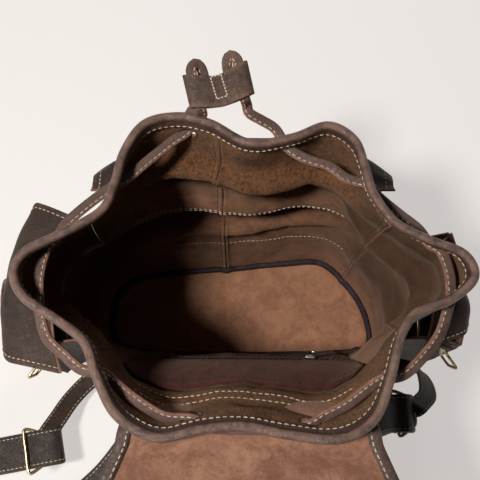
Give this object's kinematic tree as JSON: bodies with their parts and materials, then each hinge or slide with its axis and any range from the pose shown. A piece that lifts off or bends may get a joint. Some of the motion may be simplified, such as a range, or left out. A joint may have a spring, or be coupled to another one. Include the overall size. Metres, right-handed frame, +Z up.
{
  "type": "leather backpack",
  "caption": "Soft leather drawstring backpack with a hinged main flap, three flapped pockets, an inner zipped pocket, a top handle and two shoulder straps.",
  "frame": {"origin": "on the floor under the middle of the base", "axes": "+Z up; -Y is the front with the front pocket; +X is the wearer's left"},
  "size_m": [0.5896, 0.5136, 0.3905],
  "materials": {
    "outer_leather": "waxed, matt",
    "flap_leather": "suede side",
    "binding_leather": "waxed, satin",
    "lace_leather": "folded, raw edged",
    "dark_piping": "woven",
    "pocket_suede": "suede",
    "dark_stud": "satin",
    "brass": "worn, satin"
  },
  "bodies": {
    "bag": {"base_panel": "outer_leather", "base_piping": "dark_piping", "front_panel_left": "outer_leather", "front_panel_right": "outer_leather", "back_panel": "outer_leather", "gusset_left": "outer_leather", "gusset_right": "outer_leather", "rim_binding": "binding_leather", "drawcord": "lace_leather", "front_pocket_face": "outer_leather", "front_pocket_gusset": "outer_leather", "side_pocket_face_left": "outer_leather", "side_pocket_face_right": "outer_leather", "side_pocket_gusset_left": "outer_leather", "side_pocket_gusset_right": "outer_leather", "zip_pocket_panel": "pocket_suede", "zip_tapes": "dark_piping", "zip_coil": "dark_piping", "flap_strip": "outer_leather", "strap_yoke": "outer_leather", "handle_tabs": "outer_leather", "strap_anchor_left": "outer_leather", "strap_anchor_right": "outer_leather", "side_ring_tab_left": "outer_leather", "side_ring_tab_right": "outer_leather"},
    "toggle": {"cord_toggle": "outer_leather"},
    "front_flap": {"front_pocket_flap": "outer_leather", "front_pocket_strap": "outer_leather", "front_pocket_stud": "brass"},
    "side_flap_left": {"side_pocket_flap_left": "outer_leather", "side_pocket_strap_left": "outer_leather", "side_pocket_keeper_left": "binding_leather", "side_pocket_stud_left": "dark_stud"},
    "side_flap_right": {"side_pocket_flap_right": "outer_leather", "side_pocket_strap_right": "outer_leather", "side_pocket_keeper_right": "binding_leather", "side_pocket_stud_right": "dark_stud"},
    "zip_slider": {"zip_slider": "brass"},
    "zip_pull": {"zip_pull": "brass"},
    "flap_rear": {"flap_rear": "flap_leather", "flap_binding_rear": "binding_leather"},
    "flap_middle": {"flap_middle": "flap_leather", "flap_binding_middle": "binding_leather"},
    "flap_front": {"flap_front": "flap_leather", "flap_binding_front": "binding_leather", "flap_strap": "outer_leather", "flap_stud": "brass"},
    "handle": {"top_handle": "outer_leather"},
    "strap_left": {"shoulder_strap_left": "outer_leather", "lower_strap_left": "outer_leather", "strap_ring_left": "brass"},
    "strap_right": {"shoulder_strap_right": "outer_leather", "lower_strap_right": "outer_leather", "strap_ring_right": "brass"},
    "side_ring_left": {"side_ring_left": "brass"},
    "side_ring_right": {"side_ring_right": "brass"}
  },
  "joints": [
    {"name": "toggle_slide", "type": "slide", "parent": "bag", "child": "toggle", "axis": [0, -0.9397, 0.342], "range_m": [0, 0.005]},
    {"name": "front_pocket_hinge", "type": "hinge", "parent": "bag", "child": "front_flap", "pos_m": [0, -0.084, 0.214], "axis": [-1, 0, 0], "range_deg": [0, 90]},
    {"name": "side_pocket_hinge_left", "type": "hinge", "parent": "bag", "child": "side_flap_left", "pos_m": [0.1902, 0.017, 0.219], "axis": [0, -1, 0], "range_deg": [0, 95]},
    {"name": "side_pocket_hinge_right", "type": "hinge", "parent": "bag", "child": "side_flap_right", "pos_m": [-0.1902, 0.016, 0.219], "axis": [0, 1, 0], "range_deg": [0, 95]},
    {"name": "zip_travel", "type": "slide", "parent": "bag", "child": "zip_slider", "axis": [1, -0.0064, 0], "range_m": [-0.012, 0.136]},
    {"name": "zip_pull_swing", "type": "hinge", "parent": "zip_slider", "child": "zip_pull", "pos_m": [-0.064, 0.0844, 0.225], "axis": [-1, 0, 0], "range_deg": [0, 80]},
    {"name": "flap_hinge", "type": "hinge", "parent": "bag", "child": "flap_rear", "pos_m": [-0.004, 0.177, 0.352], "axis": [1, 0, 0], "range_deg": [0, 185]},
    {"name": "flap_fold", "type": "hinge", "parent": "flap_rear", "child": "flap_middle", "pos_m": [-0.004, 0.25067, 0.31385], "axis": [1, 0, 0], "range_deg": [0, 56]},
    {"name": "flap_nose_fold", "type": "hinge", "parent": "flap_middle", "child": "flap_front", "pos_m": [-0.004, 0.34619, 0.07742], "axis": [1, 0, 0], "range_deg": [0, 92]},
    {"name": "handle_swing", "type": "hinge", "parent": "bag", "child": "handle", "pos_m": [0, 0.12774, 0.262], "axis": [1, 0, 0], "range_deg": [0, 30]},
    {"name": "strap_swing_left", "type": "hinge", "parent": "bag", "child": "strap_left", "pos_m": [0.027, 0.1165, 0.226], "axis": [0.5064, -0.2211, -0.8335], "range_deg": [0, 6]},
    {"name": "strap_swing_right", "type": "hinge", "parent": "bag", "child": "strap_right", "pos_m": [-0.027, 0.1165, 0.226], "axis": [0.508, 0.207, 0.8361], "range_deg": [0, 6]},
    {"name": "side_ring_swing_left", "type": "hinge", "parent": "bag", "child": "side_ring_left", "pos_m": [0.2085, 0.094, 0.19], "axis": [0.5299, 0.848, 0], "range_deg": [-20, 60]},
    {"name": "side_ring_swing_right", "type": "hinge", "parent": "bag", "child": "side_ring_right", "pos_m": [-0.2085, 0.085, 0.19], "axis": [0.5299, -0.848, 0], "range_deg": [-20, 60]}
  ]
}
